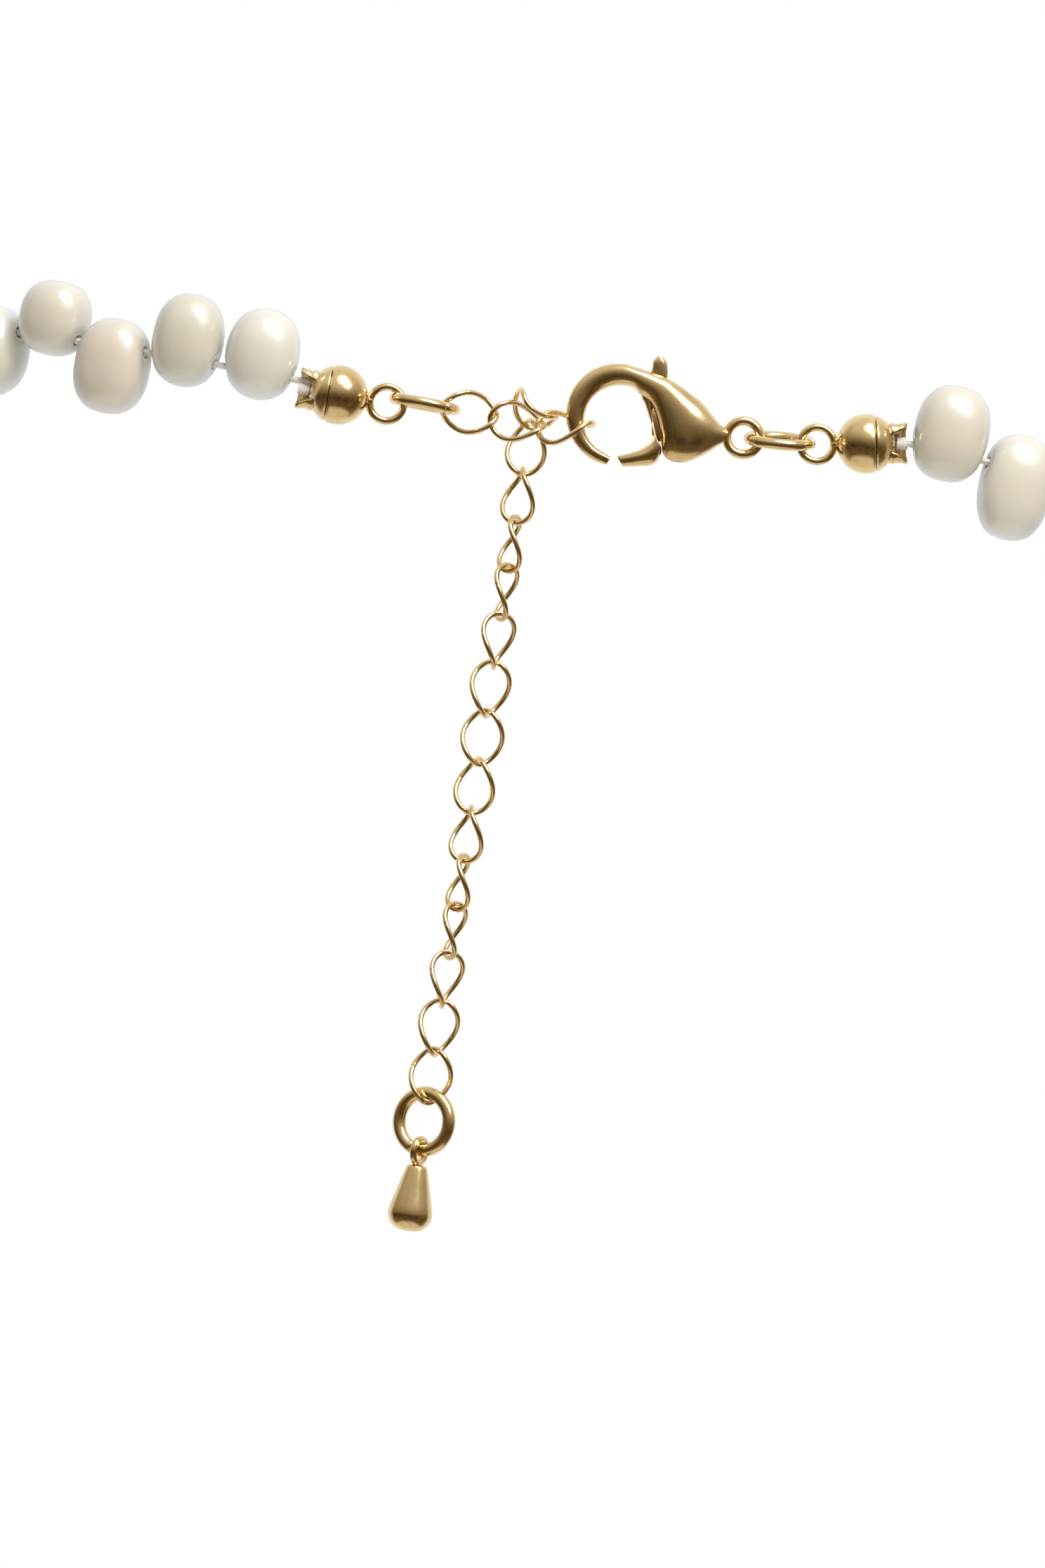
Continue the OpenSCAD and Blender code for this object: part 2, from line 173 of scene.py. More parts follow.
def skin(rings, looped=False, caps=True):
    """Points and faces of one skin over rings of points, capped at its ends if it has any."""
    n, m, _ = rings.shape
    faces = []
    for i in range(n if looped else n - 1):
        a, b = i * m, (i + 1) % n * m
        faces += [(a + k, a + (k + 1) % m, b + (k + 1) % m, b + k) for k in range(m)]
    if caps and not looped:
        faces += [tuple(range(m))[::-1], tuple(range((n - 1) * m, n * m))]
    return rings.reshape(-1, 3), faces


def piece(name, skins, node, finish, tints=None):
    """One object from skins in millimetres, riding where its CAD node rides and shown for it."""
    points, faces, tinted = [], [], []
    for i, (own, its_faces) in enumerate(skins):
        start = len(points)
        points += (own * MM).tolist()
        faces += [[start + k for k in face] for face in its_faces]
        tinted += [tints[i] if tints else (0.5, 0.5, 0.5, 1.0)] * len(own)
    mesh = bpy.data.meshes.new(name)
    mesh.from_pydata(points, [], faces)
    face_out(mesh)
    mesh.shade_smooth()
    if tints:
        colours = mesh.color_attributes.new("nacre", "FLOAT_COLOR", "POINT")
        colours.data.foreach_set("color", np.array(tinted).ravel())
    obj = bpy.data.objects.new(name, mesh)
    bpy.context.collection.objects.link(obj)
    mesh.materials.append(finish)
    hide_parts(node)
    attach(obj, home[node])
    return obj


class Value:
    """A number on its way through a finish. Sums on it add Math nodes."""

    def __init__(self, finish, socket):
        self.finish, self.socket = finish, socket

    def sum(self, operation, *values):
        return self.finish.node(
            "ShaderNodeMath", {"operation": operation}, dict(enumerate(values))
        )

    def __add__(self, other):
        return self.sum("ADD", self, other)

    def __sub__(self, other):
        return self.sum("SUBTRACT", self, other)

    def __rsub__(self, other):
        return self.sum("SUBTRACT", other, self)

    def __mul__(self, other):
        return self.sum("MULTIPLY", self, other)

    def __pow__(self, other):
        return self.sum("POWER", self, other)

    __radd__ = __add__
    __rmul__ = __mul__


class Finish:
    """A finish being built round one Principled shader."""

    def __init__(self, name, **constants):
        self.material = bpy.data.materials.new(name)
        self.material.use_nodes = True
        self.tree = self.material.node_tree
        self.tree.nodes.clear()
        out = self.tree.nodes.new("ShaderNodeOutputMaterial")
        self.shader = self.tree.nodes.new("ShaderNodeBsdfPrincipled")
        self.tree.links.new(self.shader.outputs[0], out.inputs[0])
        self.set(self.shader, constants)

    def set(self, node, values):
        for socket, value in values.items():
            if isinstance(value, Value):
                self.tree.links.new(value.socket, node.inputs[socket])
            else:
                node.inputs[socket].default_value = value

    def node(self, kind, settings, values, output=0):
        made = self.tree.nodes.new(kind)
        for name, setting in settings.items():
            if name == "stops":
                ramp = made.color_ramp.elements
                while len(ramp) < len(setting):
                    ramp.new(0.5)
                for stop, (place, colour) in zip(ramp, setting):
                    stop.position, stop.color = place, colour
            else:
                setattr(made, name, setting)
        self.set(made, values)
        return Value(self, made.outputs[output])

    def mix(self, factor, a, b):
        settings = {"data_type": "RGBA", "clamp_factor": True}
        return self.node("ShaderNodeMix", settings, {0: factor, 6: a, 7: b}, 2)

    def noise(self, scale, detail=2.0, stretch=(1.0, 1.0, 1.0)):
        """Noise through the object, with scale in rounds per millimetre."""
        spot = self.node("ShaderNodeTexCoord", {}, {}, 3)
        place = self.node(
            "ShaderNodeVectorMath", {"operation": "MULTIPLY"}, {0: spot, 1: stretch}
        )
        values = {"Vector": place, "Scale": scale / MM, "Detail": detail}
        return self.node("ShaderNodeTexNoise", {}, values)

    def bump(self, height, distance):
        values = {"Height": height, "Distance": distance * MM, "Strength": 1.0}
        return self.node("ShaderNodeBump", {}, values)


CREAM = (0.70, 0.62, 0.51, 1.0)
IVORY = (0.74, 0.70, 0.64, 1.0)
SAGE = (0.57, 0.57, 0.46, 1.0)
ROSE = (0.67, 0.52, 0.44, 1.0)

nacre = Finish(
    "nacre",
    **{
        "Coat Roughness": 0.09,
        "Coat IOR": 1.7,
        "IOR": 1.65,
        "Subsurface Weight": 0.12,
        "Subsurface Scale": 0.0008,
        "Thin Film Thickness": 190.0,
        "Thin Film IOR": 1.38,
        "Specular IOR Level": 0.9,
    },
)
tint = nacre.node("ShaderNodeAttribute", {"attribute_name": "nacre"}, {})
tint_parts = [nacre.node("ShaderNodeSeparateColor", {}, {0: tint}, k) for k in range(3)]
cloud = nacre.noise(0.16, 2.0)
fine_cloud = nacre.noise(0.9, 3.0)
body_colour = nacre.mix(tint_parts[0], CREAM, IVORY)
body_colour = nacre.mix(tint_parts[1] * 0.5 + cloud * 0.3 - 0.12, body_colour, SAGE)
body_colour = nacre.mix(tint_parts[2] * 0.5 + fine_cloud * 0.3 - 0.2, body_colour, ROSE)
nacre.set(
    nacre.shader,
    {
        "Base Color": body_colour,
        "Roughness": 0.28 + fine_cloud * 0.14,
        "Coat Weight": 0.55 + cloud * 0.3,
        "Normal": nacre.bump(cloud * 0.6 + fine_cloud * 0.4, 0.02),
    },
)


def pearl_skin(place, luck, touch):
    """A drilled potato pearl: rings of points round its drilling line."""
    centre, hole, along, up, half_w, half_h = place
    side = np.cross(up, along)
    half_w += touch
    half = np.array([half_w, half_w * luck.uniform(0.93, 0.98), half_h])
    end = math.atan(DRILL_R / half_w)
    span = math.pi - 2 * end
    even = np.linspace(0, math.pi, PEARL_STEPS)
    swing = end + span * (1 - np.cos(even)) / 2 * 0.5 + span * even / math.pi * 0.5
    turn = np.linspace(0, 2 * math.pi, PEARL_ROUND, endpoint=False)
    out = np.cos(turn)[:, None] * side + np.sin(turn)[:, None] * up
    ways = np.cos(swing)[:, None, None] * along + np.sin(swing)[:, None, None] * out
    frame_of = np.stack([along, side, up], 1)
    low = np.zeros(ways.shape[:2])
    high = np.full(ways.shape[:2], 3 * half_h)
    fullness = PEARL_FULLNESS + luck.uniform(-0.1, 0.2)
    for _ in range(HALVINGS):
        reach = (low + high) / 2
        spots = (hole + reach[..., None] * ways - centre) @ frame_of
        inside = (np.abs(spots / half) ** fullness).sum(-1) < 1
        low = np.where(inside, reach, low)
        high = np.where(inside, high, reach)
    spots = (hole + low[..., None] * ways - centre) @ frame_of
    lumps = sum(
        luck.uniform(*LUMP_DEEP)
        * np.sin(spots @ [luck.uniform(-0.9, 0.9) for _ in range(3)] + luck.uniform(0, 6))
        for _ in range(LUMPS)
    )
    height = spots[..., 2]
    rings = RING_DEEP * np.sin(height * luck.uniform(5, 7) + luck.uniform(0, 6))
    rings = rings * (np.abs(height) / half_h) ** 2
    spots = spots * (0.998 - np.abs(lumps)[..., None]) - unit(spots) * rings[..., None]
    from_hole = np.linalg.norm(spots[..., 1:] - ((hole - centre) @ frame_of)[1:], axis=-1)
    sink = DIMPLE_DEEP * np.exp(-(((from_hole - DRILL_R) / DIMPLE_WIDE) ** 2))
    spots[..., 0] -= np.sign(spots[..., 0]) * sink
    inner = spots[[-1, 0]] * [CORE_SHARE, 1, 1]
    whole = np.concatenate([spots, inner])
    return skin(centre + whole @ frame_of.T, looped=True)


pearl_nodes = [n for n in home if n.startswith("pearl_") or "_pearls" in n]
for node in pearl_nodes:
    skins, tints = [], []
    touch = TURNING_TOUCH if node.startswith("pearl_") else PEARL_TOUCH
    for place in pearl_places(node):
        luck = random.Random(str([round(float(c), 1) for c in place[0]]))
        skins.append(pearl_skin(place, luck, touch))
        tints.append([luck.random(), luck.random() ** 1.5, luck.random() ** 2, 1.0])
    piece(node + "_nacre", skins, node, nacre.material, tints)

# ---- silk ----
# One white silk thread runs through every pearl and ends in a knot inside each
# bead tip, with its last turns coiled in the collar. It is drawn as its lengths
# between the places where the strand bends.

SILK_WHITE = (0.86, 0.84, 0.79, 1.0)
SILK_SHADE = (0.60, 0.57, 0.50, 1.0)
KNOT_PLY = 0.24
KNOT_ASKEW = [1.0, 0.3, 0.2]
RIM_DEEP = 0.01
COIL_TURNS = 3.5
COIL_LONG = 0.62
COIL_R = 0.3
COIL_PLY = 0.11

silk = Finish("silk", **{"Sheen Weight": 0.3, "Sheen Roughness": 0.4, "IOR": 1.5})
ply = silk.noise(2.2, 3.0, (1.0, 1.0, 2.5))
silk.set(
    silk.shader,
    {
        "Base Color": silk.mix(ply, SILK_SHADE, SILK_WHITE),
        "Roughness": 0.55 + ply * 0.25,
        "Normal": silk.bump(ply, 0.05),
    },
)
for node in home:
    if node.endswith("_thread") or "_thread_" in node:
        cord = frame["nodes"][node]
        cord.data.materials.clear()
        cord.data.materials.append(silk.material)
        cord.data.shade_smooth()


def tube(path, radius, sides=14, centre=None):
    """Round wire along a path, looped if its centre is given. The radius may vary along it."""
    if centre is None:
        run = unit(np.gradient(path, axis=0))
        ref = np.eye(3)[np.argmin(np.abs(run).max(0))]
        u = unit(np.cross(run, ref))
    else:
        run = unit(np.roll(path, -1, 0) - np.roll(path, 1, 0))
        u = unit(np.cross(run, path - centre))
    v = np.cross(run, u)
    turn = np.linspace(0, 2 * math.pi, sides, endpoint=False)
    radius = np.broadcast_to(radius, len(path))[:, None, None]
    out = np.cos(turn)[None, :, None] * u[:, None] + np.sin(turn)[None, :, None] * v[:, None]
    return skin(path[:, None] + radius * out, looped=centre is not None)


def flat_end(name):
    """The direction and middle of a solid's largest flat face."""
    points, _, normals, areas = solids(name)[0]
    facing = np.round(normals, 2)
    ways, which = np.unique(facing, axis=0, return_inverse=True)
    way = unit(ways[np.argmax(np.bincount(which.ravel(), areas))])
    rim = points[points @ way > (points @ way).max() - RIM_DEEP]
    return way, (rim.max(0) + rim.min(0)) / 2


for node in ("end_knot_left", "end_knot_right"):
    points = solids(node)[0][0]
    centre, half = middle(points, *np.eye(3))
    t = np.linspace(0, 2 * math.pi, 73)[:-1]
    trefoil = np.stack(
        [
            np.sin(3 * t),
            np.sin(t) + 2 * np.sin(2 * t),
            np.cos(t) - 2 * np.cos(2 * t),
        ],
        1,
    )
    path = centre + trefoil * (min(half) - KNOT_PLY) / 3
    run = unit(np.roll(path, -1, 0) - np.roll(path, 1, 0))
    u = unit(np.cross(run, KNOT_ASKEW))
    v = np.cross(run, u)
    turn = np.linspace(0, 2 * math.pi, 12, endpoint=False)
    ring = np.cos(turn)[:, None, None] * u + np.sin(turn)[:, None, None] * v
    rings = path[:, None] + KNOT_PLY * ring.transpose(1, 0, 2)
    out, end = flat_end("tip_cover_" + node.rsplit("_", 1)[1])
    up = unit(np.array([0.0, 0.0, 1.0]) - out * out[2])
    t = np.linspace(0, 1, 100)
    angle = 2 * math.pi * COIL_TURNS * t[:, None]
    around = np.cos(angle) * up + np.sin(angle) * np.cross(up, out)
    coil = end - out * (COIL_LONG * (1 - t[:, None])) + COIL_R * around
    coil_skin = tube(coil, COIL_PLY, 10)
    piece(node + "_silk", [skin(rings, looped=True), coil_skin], node, silk.material)

# ---- bead tips ----
# A hollow brass cup with a loop on its outside closes over the thread's knot with
# a cover, whose folded collar lets the thread out. Both are stamped and gilt.

BALL_R = 1.85
BALL_WALL = 0.35
SEAM_AT = 0.55
COVER_FROM = 0.6
TIP_LOOP_R = 1.06
TIP_WIRE = 0.48
TIP_REACH = 2.45
COLLAR_H = 1.26
COLLAR_W = 0.86
COLLAR_WALL = 0.03
NOTCH = 46  # degrees either side of the collar's open front
EXIT_R = 0.55  # the hole under the collar that the thread leaves by
EXIT_INNER_R = 0.5

GOLD_LIGHT = (0.92, 0.74, 0.43, 1.0)
GOLD_DEEP = (0.76, 0.54, 0.25, 1.0)

gilt = Finish("gilt", **{"Metallic": 1.0, "IOR": 1.5, "Specular IOR Level": 0.6})
wear = gilt.noise(0.5, 4.0)
scuffs = gilt.noise(5.0, 3.0, (1.0, 1.0, 4.0))
gilt.set(
    gilt.shader,
    {
        "Base Color": gilt.mix(wear * 1.6 - 0.3, GOLD_DEEP, GOLD_LIGHT),
        "Roughness": 0.10 + scuffs * 0.12 + wear * 0.06,
        "Normal": gilt.bump(scuffs * 0.4 + wear * 0.6, 0.006),
    },
)


def turned(profile, count=64):
    """Rings of a shape turned about X from (along, out) points."""
    turn = np.linspace(0, 2 * math.pi, count, endpoint=False)
    along, out = np.array(profile).T
    return np.stack(
        np.broadcast_arrays(
            along[:, None], out[:, None] * np.cos(turn), out[:, None] * np.sin(turn)
        ),
        -1,
    )


def arc(r, start, stop, count):
    """(along, out) points of an arc about the ball's middle, between two places along X."""
    a = np.linspace(math.acos(start / r), math.acos(stop / r), count)
    return [(r * math.cos(t), r * math.sin(t)) for t in a]


for side in ("left", "right"):
    out, end = flat_end("tip_cover_" + side)
    up = unit(np.array([0.0, 0.0, 1.0]) - out * out[2])
    pose = np.stack([out, np.cross(up, out), up])
    ball = end - out * TIP_REACH
    front = -1.0 if np.cross(up, out)[1] > 0 else 1.0
    inner_r = BALL_R - BALL_WALL
    neck = [(-BALL_R - 0.32, 0.02), (-BALL_R - 0.3, 0.26), (-BALL_R - 0.12, 0.27)]
    neck += [(-BALL_R - 0.02, 0.34), (-BALL_R + 0.05, 0.47)]
    cup = neck + arc(BALL_R, -BALL_R + 0.09, SEAM_AT - 0.04, 22)
    cup += [(SEAM_AT, BALL_R - 0.13)] + arc(inner_r, SEAM_AT, -inner_r + 0.01, 16)
    t = np.linspace(0, 2 * math.pi, 64, endpoint=False)
    loop_at = np.array([-BALL_R - TIP_LOOP_R - TIP_WIRE / 2 + 0.1, 0, 0])
    loop = loop_at + TIP_LOOP_R * np.stack([np.cos(t), 0 * t, np.sin(t)], 1)
    cup_skins = [skin(turned(cup)), tube(loop, TIP_WIRE / 2, 16, loop_at)]
    cup_skins = [(ball + points @ pose, faces) for points, faces in cup_skins]
    piece(f"bead_tip_{side}_cup", cup_skins, f"bead_tip_{side}", gilt.material)

    exit_at = math.sqrt(BALL_R**2 - EXIT_R**2)
    inner_exit_at = math.sqrt(inner_r**2 - EXIT_INNER_R**2)
    cover = [(COVER_FROM, inner_r + 0.1)] + arc(BALL_R, COVER_FROM + 0.03, exit_at, 18)
    cover += arc(inner_r, inner_exit_at, COVER_FROM, 14)
    cover_rings = turned(cover)
    way = math.pi / 2 * front
    flare = [(1.15, 0.96), (1.5, 0.98), (1.62, 1.03), (1.78, 0.96), (2.1, 0.98)]
    flare += [(TIP_REACH + 0.06, 1.03)]
    walls = []
    for x, share in flare + [(x - COLLAR_WALL, share - 0.2) for x, share in flare[::-1]]:
        out_along = (x - flare[0][0]) / (TIP_REACH - flare[0][0])
        gap = math.radians(NOTCH * (0.35 + 0.65 * out_along))
        t = np.linspace(way + gap, way + 2 * math.pi - gap, 60)
        squared = (np.abs(np.cos(t)) ** 3 + np.abs(np.sin(t)) ** 3) ** (-1 / 3)
        y = COLLAR_W * share * squared * np.sin(t)
        z = COLLAR_H * share * squared * np.cos(t)
        walls.append(np.stack([np.full_like(t, x), y, z], 1))
    collar = skin(np.array(walls).transpose(1, 0, 2))
    cover_skins = [skin(cover_rings, looped=True), collar]
    cover_skins = [(ball + points @ pose, faces) for points, faces in cover_skins]
    piece(f"tip_cover_{side}_shell", cover_skins, f"tip_cover_{side}", gilt.material)

# ---- jump rings ----
# Two open rings of heavy round wire, cut square and closed edge to edge: one joins
# the left bead tip to the chain, the other the right one to the clasp's eye.

JUMP_WIRE = 0.7
RING_CUT = 0.9  # degrees left open between the cut ends
END_SHARE = 0.93  # the cut ends are dressed to this share of the wire


def ring_pose(name):
    """A flat ring's middle, its plane's two directions and its outer radius."""
    points, _, normals, areas = solids(name)[0]
    centre, _ = middle(points, *np.eye(3))
    ways = np.linalg.eigh((points - centre).T @ (points - centre))[1]
    centre, half = middle(points, *ways.T)
    return centre, ways[:, 1], ways[:, 2], max(half)


def cut_ring(name, wire, cut_at, open_degrees):
    """A ring of round wire with its ends cut and nearly touching."""
    centre, a, b, reach = ring_pose(name)
    spare = math.radians(open_degrees / 2)
    t = np.linspace(spare, 2 * math.pi - spare, 121) + math.radians(cut_at)
    r = reach - wire / 2
    path = centre + r * (np.cos(t)[:, None] * a + np.sin(t)[:, None] * b)
    run = unit(np.gradient(path, axis=0))
    u, v = unit(path - centre), np.cross(unit(path - centre), run)
    turn = np.linspace(0, 2 * math.pi, 20, endpoint=False)[None, :, None]
    thick = np.full(len(path), wire / 2)
    thick[[0, -1]] *= END_SHARE
    spots = thick[:, None, None] * (np.cos(turn) * u[:, None] + np.sin(turn) * v[:, None])
    return skin(path[:, None] + spots)


for side, cut_at in (("left", 140), ("right", 35)):
    ring = cut_ring(f"jump_ring_{side}", JUMP_WIRE, cut_at, RING_CUT)
    piece(f"jump_ring_{side}_wire", [ring], f"jump_ring_{side}", gilt.material)

# ---- extender chain ----
# Eighteen oval links of fine wire, each twisted a quarter turn so that the chain
# hangs flat, and soldered at one side. Four lie in the closure, the rest hang.

LINK_WIRE = 0.33
LINK_TWIST = 45
SOLDER_AT = 12  # degrees round the link
SOLDER_WIDE = 8
SOLDER_PROUD = 0.07
SEAM_WIDE = 2
SEAM_DEEP = 0.15
WAIST = 0.3  # points this near a link's middle give its width

links = sorted(n for n in home if n.startswith("extender_link_"))
for node in links:
    points = solids(node)[0][0]
    centre, _ = middle(points, *np.eye(3))
    k = np.linalg.eigh((points - centre).T @ (points - centre))[1][:, 2]
    height = (points - centre) @ k
    waist = (points - centre)[np.abs(height) < WAIST]
    waist = waist - np.outer(waist @ k, k)
    x = np.linalg.eigh(waist.T @ waist)[1][:, 2]
    y = np.cross(k, x)
    half_l = np.abs(height).max() - LINK_WIRE / 2
    half_w = np.abs(waist @ x).max() - LINK_WIRE / 2
    t = np.linspace(0, 2 * math.pi, 144, endpoint=False)[:, None]
    twist = -math.radians(LINK_TWIST) * np.sin(t)
    path = centre + half_l * np.sin(t) * k
    path = path + half_w * np.cos(t) * (np.cos(twist) * x + np.sin(twist) * y)
    away = np.degrees(t[:, 0]) - SOLDER_AT
    solder = SOLDER_PROUD * np.exp(-((away / SOLDER_WIDE) ** 2))
    thick = 1 + solder - SEAM_DEEP * np.exp(-((away / SEAM_WIDE) ** 2))
    wire = tube(path, LINK_WIRE / 2 * thick, 14, centre)
    piece(node + "_wire", [wire], node, gilt.material)

# ---- end ring and drop ----
# A heavy ring on the last link carries a small turned drop, which ends the chain
# and is easy to hold. The drop hangs from a fine loop brazed into its top.

END_WIRE = 0.83
END_RING_CUT = 0.6
DROP_LOOP_WIRE = 0.46
DROP_LOOP_R = 0.735
LOOP_BRAZED = 0.1  # the drop's top stands this far below the loop's wire
CROWN = 1.3  # the part of the drop that is only its loop

ring = cut_ring("extender_end_ring", END_WIRE, 200, END_RING_CUT)
piece("extender_end_ring_wire", [ring], "extender_end_ring", gilt.material)

points = solids("extender_drop")[0][0]
low, high = points[:, 2].min(), points[:, 2].max()
hub = (points.max(0) + points.min(0)) / 2
crown = points[points[:, 2] > high - CROWN]
across = crown[:, :2] - crown[:, :2].mean(0)
loop_way = np.append(np.linalg.eigh(across.T @ across)[1][:, 1], 0.0)
loop_at = np.array([hub[0], hub[1], high - DROP_LOOP_R - DROP_LOOP_WIRE / 2])
t = np.linspace(0, 2 * math.pi, 64, endpoint=False)[:, None]
loop = loop_at + DROP_LOOP_R * (np.cos(t) * loop_way + np.sin(t) * np.array([0, 0, 1.0]))
drop_top = loop_at[2] - DROP_LOOP_R - LOOP_BRAZED - low
profile = [(0.0, 0.02), (0.02, 0.4), (0.1, 0.75), (0.28, 1.02), (0.5, 1.22), (0.8, 1.36)]
profile += [(1.1, 1.4), (1.5, 1.34), (2.5, 1.08), (3.4, 0.84), (3.9, 0.69)]
profile += [(drop_top - 0.1, 0.62), (drop_top - 0.02, 0.45), (drop_top, 0.03)]
stations = np.linspace(0, len(profile) - 1, 49)
profile = np.array(profile)
smooth = np.stack([np.interp(stations, range(len(profile)), profile[:, k]) for k in (0, 1)], 1)
for _ in range(2):
    smooth[1:-1] = (smooth[:-2] + 2 * smooth[1:-1] + smooth[2:]) / 4
rings = turned(smooth, 48)[..., [1, 2, 0]] + np.array([hub[0], hub[1], low])
drop_skins = [tube(loop, DROP_LOOP_WIRE / 2, 14, loop_at), skin(rings)]
piece("extender_drop_turned", drop_skins, "extender_drop", gilt.material)

# ---- lobster clasp ----
# A cast brass body with a hook and an eye, and a lever that a leaf spring keeps
# shut against the hook. The lever turns on a rivet through the body's two cheeks.

RIVET_FROM_HOOK = np.array([3.3, 0.4])
HOOK_HOLE_R = 2.2
HOOK_OUT_R = 3.18
HOOK_OUT_AT = np.array([-0.2, 0.35])
EYE_AT = np.array([7.75, 0.12])
EYE_R = 1.04
EYE_WIRE = 0.58
SLOT = 1.0
RIVET_R = 0.4
LEAF_BOW = 0.35
CAST_EDGE = 42  # degrees; sharper edges than this stay crisp
LEAF_THICK = 0.5  # share of the leaf spring's whole depth; the rest is its bow

rivet_points = solids("clasp_rivet")[0][0]
rivet_at, _ = middle(rivet_points, *np.eye(3))
clasp_at = rivet_at - np.array([RIVET_FROM_HOOK[0], 0, RIVET_FROM_HOOK[1]])


def flow(points, count):
    """A smooth curve through rows of numbers, with count places along it."""
    rows = np.array(points, float)
    rows = np.concatenate([[2 * rows[0] - rows[1]], rows, [2 * rows[-1] - rows[-2]]])
    u = np.linspace(0, len(rows) - 3 - 1e-6, count)
    i = u.astype(int)
    f = (u - i)[:, None]
    a, b, c, d = rows[i], rows[i + 1], rows[i + 2], rows[i + 3]
    bend = (2 * a - 5 * b + 4 * c - d) * f**2
    return 0.5 * (2 * b + (c - a) * f + bend + (3 * b - a - 3 * c + d) * f**3)


def rails(rows, count, sides=40, squareness=2.4):
    """A body between two edges: rows of (edge x, z, other edge x, z, half thickness)."""
    laid = flow(rows, count)
    one, two, thick = laid[:, :2], laid[:, 2:4], laid[:, 4]
    t = np.linspace(0, 2 * math.pi, sides, endpoint=False)
    c = np.sign(np.cos(t)) * np.abs(np.cos(t)) ** (2 / squareness)
    s = np.sign(np.sin(t)) * np.abs(np.sin(t)) ** (2 / squareness)
    flat = (one + two)[:, None] / 2 + c[None, :, None] * (one - two)[:, None] / 2
    return np.stack([flat[..., 0], thick[:, None] * s, flat[..., 1]], -1)


hook_rows = []
hook_turns = np.radians([266, 250, 232, 210, 186, 160, 135, 112, 92, 76])
hook_thick = (0.2, 0.36, 0.44, 0.48, 0.5, 0.5, 0.52, 0.6, 0.72, 0.86)
for a, thick in zip(hook_turns, hook_thick):
    way = np.array([math.cos(a), math.sin(a)])
    hook_rows.append([*(HOOK_OUT_AT + HOOK_OUT_R * way), *(HOOK_HOLE_R * way), thick])
hook_rows[0][2:4] = [-0.2, -2.3]
body_rows = [
    [1.45, 3.33, 0.95, 1.84, 0.98],
    [2.66, 3.05, 1.72, 1.33, 1.12],
    [3.35, 2.76, 2.2, 0.5, 1.22],
    [4.0, 2.43, 2.62, -0.6, 1.28],
    [4.6, 2.08, 3.0, -1.75, 1.28],
    [5.1, 1.72, 3.9, -2.08, 1.2],
    [5.6, 1.26, 4.9, -1.7, 1.0],
    [6.05, 0.84, 5.75, -1.1, 0.72],
    [6.4, 0.62, 6.3, -0.6, 0.5],
    [6.75, 0.48, 6.75, -0.26, 0.34],
]
body_skin = skin(rails(hook_rows + body_rows, 150))
t = np.linspace(0, 2 * math.pi, 80, endpoint=False)
eye_centre = np.array([EYE_AT[0], 0, EYE_AT[1]])
eye = eye_centre + EYE_R * np.stack([np.cos(t), 0 * t, np.sin(t)], 1)
eye_skin = tube(eye, EYE_WIRE / 2, 18, eye_centre)


def on_clasp(skins):
    return [(points + clasp_at, faces) for points, faces in skins]


clasp = piece("clasp_body_cast", on_clasp([body_skin]), "clasp_body", gilt.material)
slot_outline = [(0.9, 1.2), (0.95, 4), (4.3, 4), (4.45, 2.2), (4.45, -0.8), (4, -2.8), (0, -2.8)]
cutter = np.array([[(x, y, z) for x, z in slot_outline] for y in (-SLOT / 2, SLOT / 2)])
tool_mesh = bpy.data.meshes.new("slot")
tool_points, tool_faces = skin(cutter)
tool_mesh.from_pydata(((tool_points + clasp_at) * MM).tolist(), [], tool_faces)
face_out(tool_mesh)
tool = bpy.data.objects.new("slot", tool_mesh)
bpy.context.collection.objects.link(tool)
cut = clasp.modifiers.new("slot", "BOOLEAN")
cut.operation = "DIFFERENCE"
cut.solver = "EXACT"
cut.object = tool
bpy.context.view_layer.update()
cut_mesh = bpy.data.meshes.new_from_object(
    clasp.evaluated_get(bpy.context.evaluated_depsgraph_get())
)
clasp.modifiers.clear()
shape = bmesh.new()
shape.from_mesh(cut_mesh)
eye_points, eye_faces = on_clasp([eye_skin])[0]
eye_verts = [shape.verts.new(p) for p in eye_points * MM]
for face in eye_faces:
    shape.faces.new([eye_verts[k] for k in face])
bmesh.ops.recalc_face_normals(shape, faces=shape.faces)
shape.to_mesh(cut_mesh)
shape.free()
clasp.data = cut_mesh
cut_mesh.shade_smooth()
cut_mesh.set_sharp_from_angle(angle=math.radians(CAST_EDGE))
cut_mesh.materials.clear()
cut_mesh.materials.append(gilt.material)
bpy.data.objects.remove(tool)

lever_rows = [
    [0.15, -2.17, 0.61, -2.78, 0.36],
    [0.8, -1.93, 1.5, -2.62, 0.55],
    [1.6, -1.5, 2.5, -2.33, 0.78],
    [2.2, -0.85, 2.86, -1.5, 0.82],
    [2.08, -0.2, 2.5, -0.75, 0.68],
    [1.8, 0.4, 2.25, 0.1, 0.46],
    [1.38, 1.25, 1.95, 0.95, 0.42],
    [1.08, 1.75, 2.1, 1.7, 0.42],
    [1.22, 2.5, 2.5, 2.45, 0.42],
    [1.47, 3.3, 2.55, 3.2, 0.42],
    [1.5, 3.95, 2.4, 3.95, 0.4],
    [1.72, 4.3, 2.1, 4.3, 0.3],
]
lever_skin = skin(rails(lever_rows, 90))
t = np.linspace(0, 2 * math.pi, 40, endpoint=False)
hub_r = np.array([0.05, 0.6, 0.66, 0.66, 0.6, 0.05])
hub_y = np.array([-0.48, -0.48, -0.42, 0.42, 0.48, 0.48])
hub_rings = np.stack(
    np.broadcast_arrays(
        RIVET_FROM_HOOK[0] + hub_r[:, None] * np.cos(t),
        hub_y[:, None],
        RIVET_FROM_HOOK[1] + hub_r[:, None] * np.sin(t),
    ),
    -1,
)
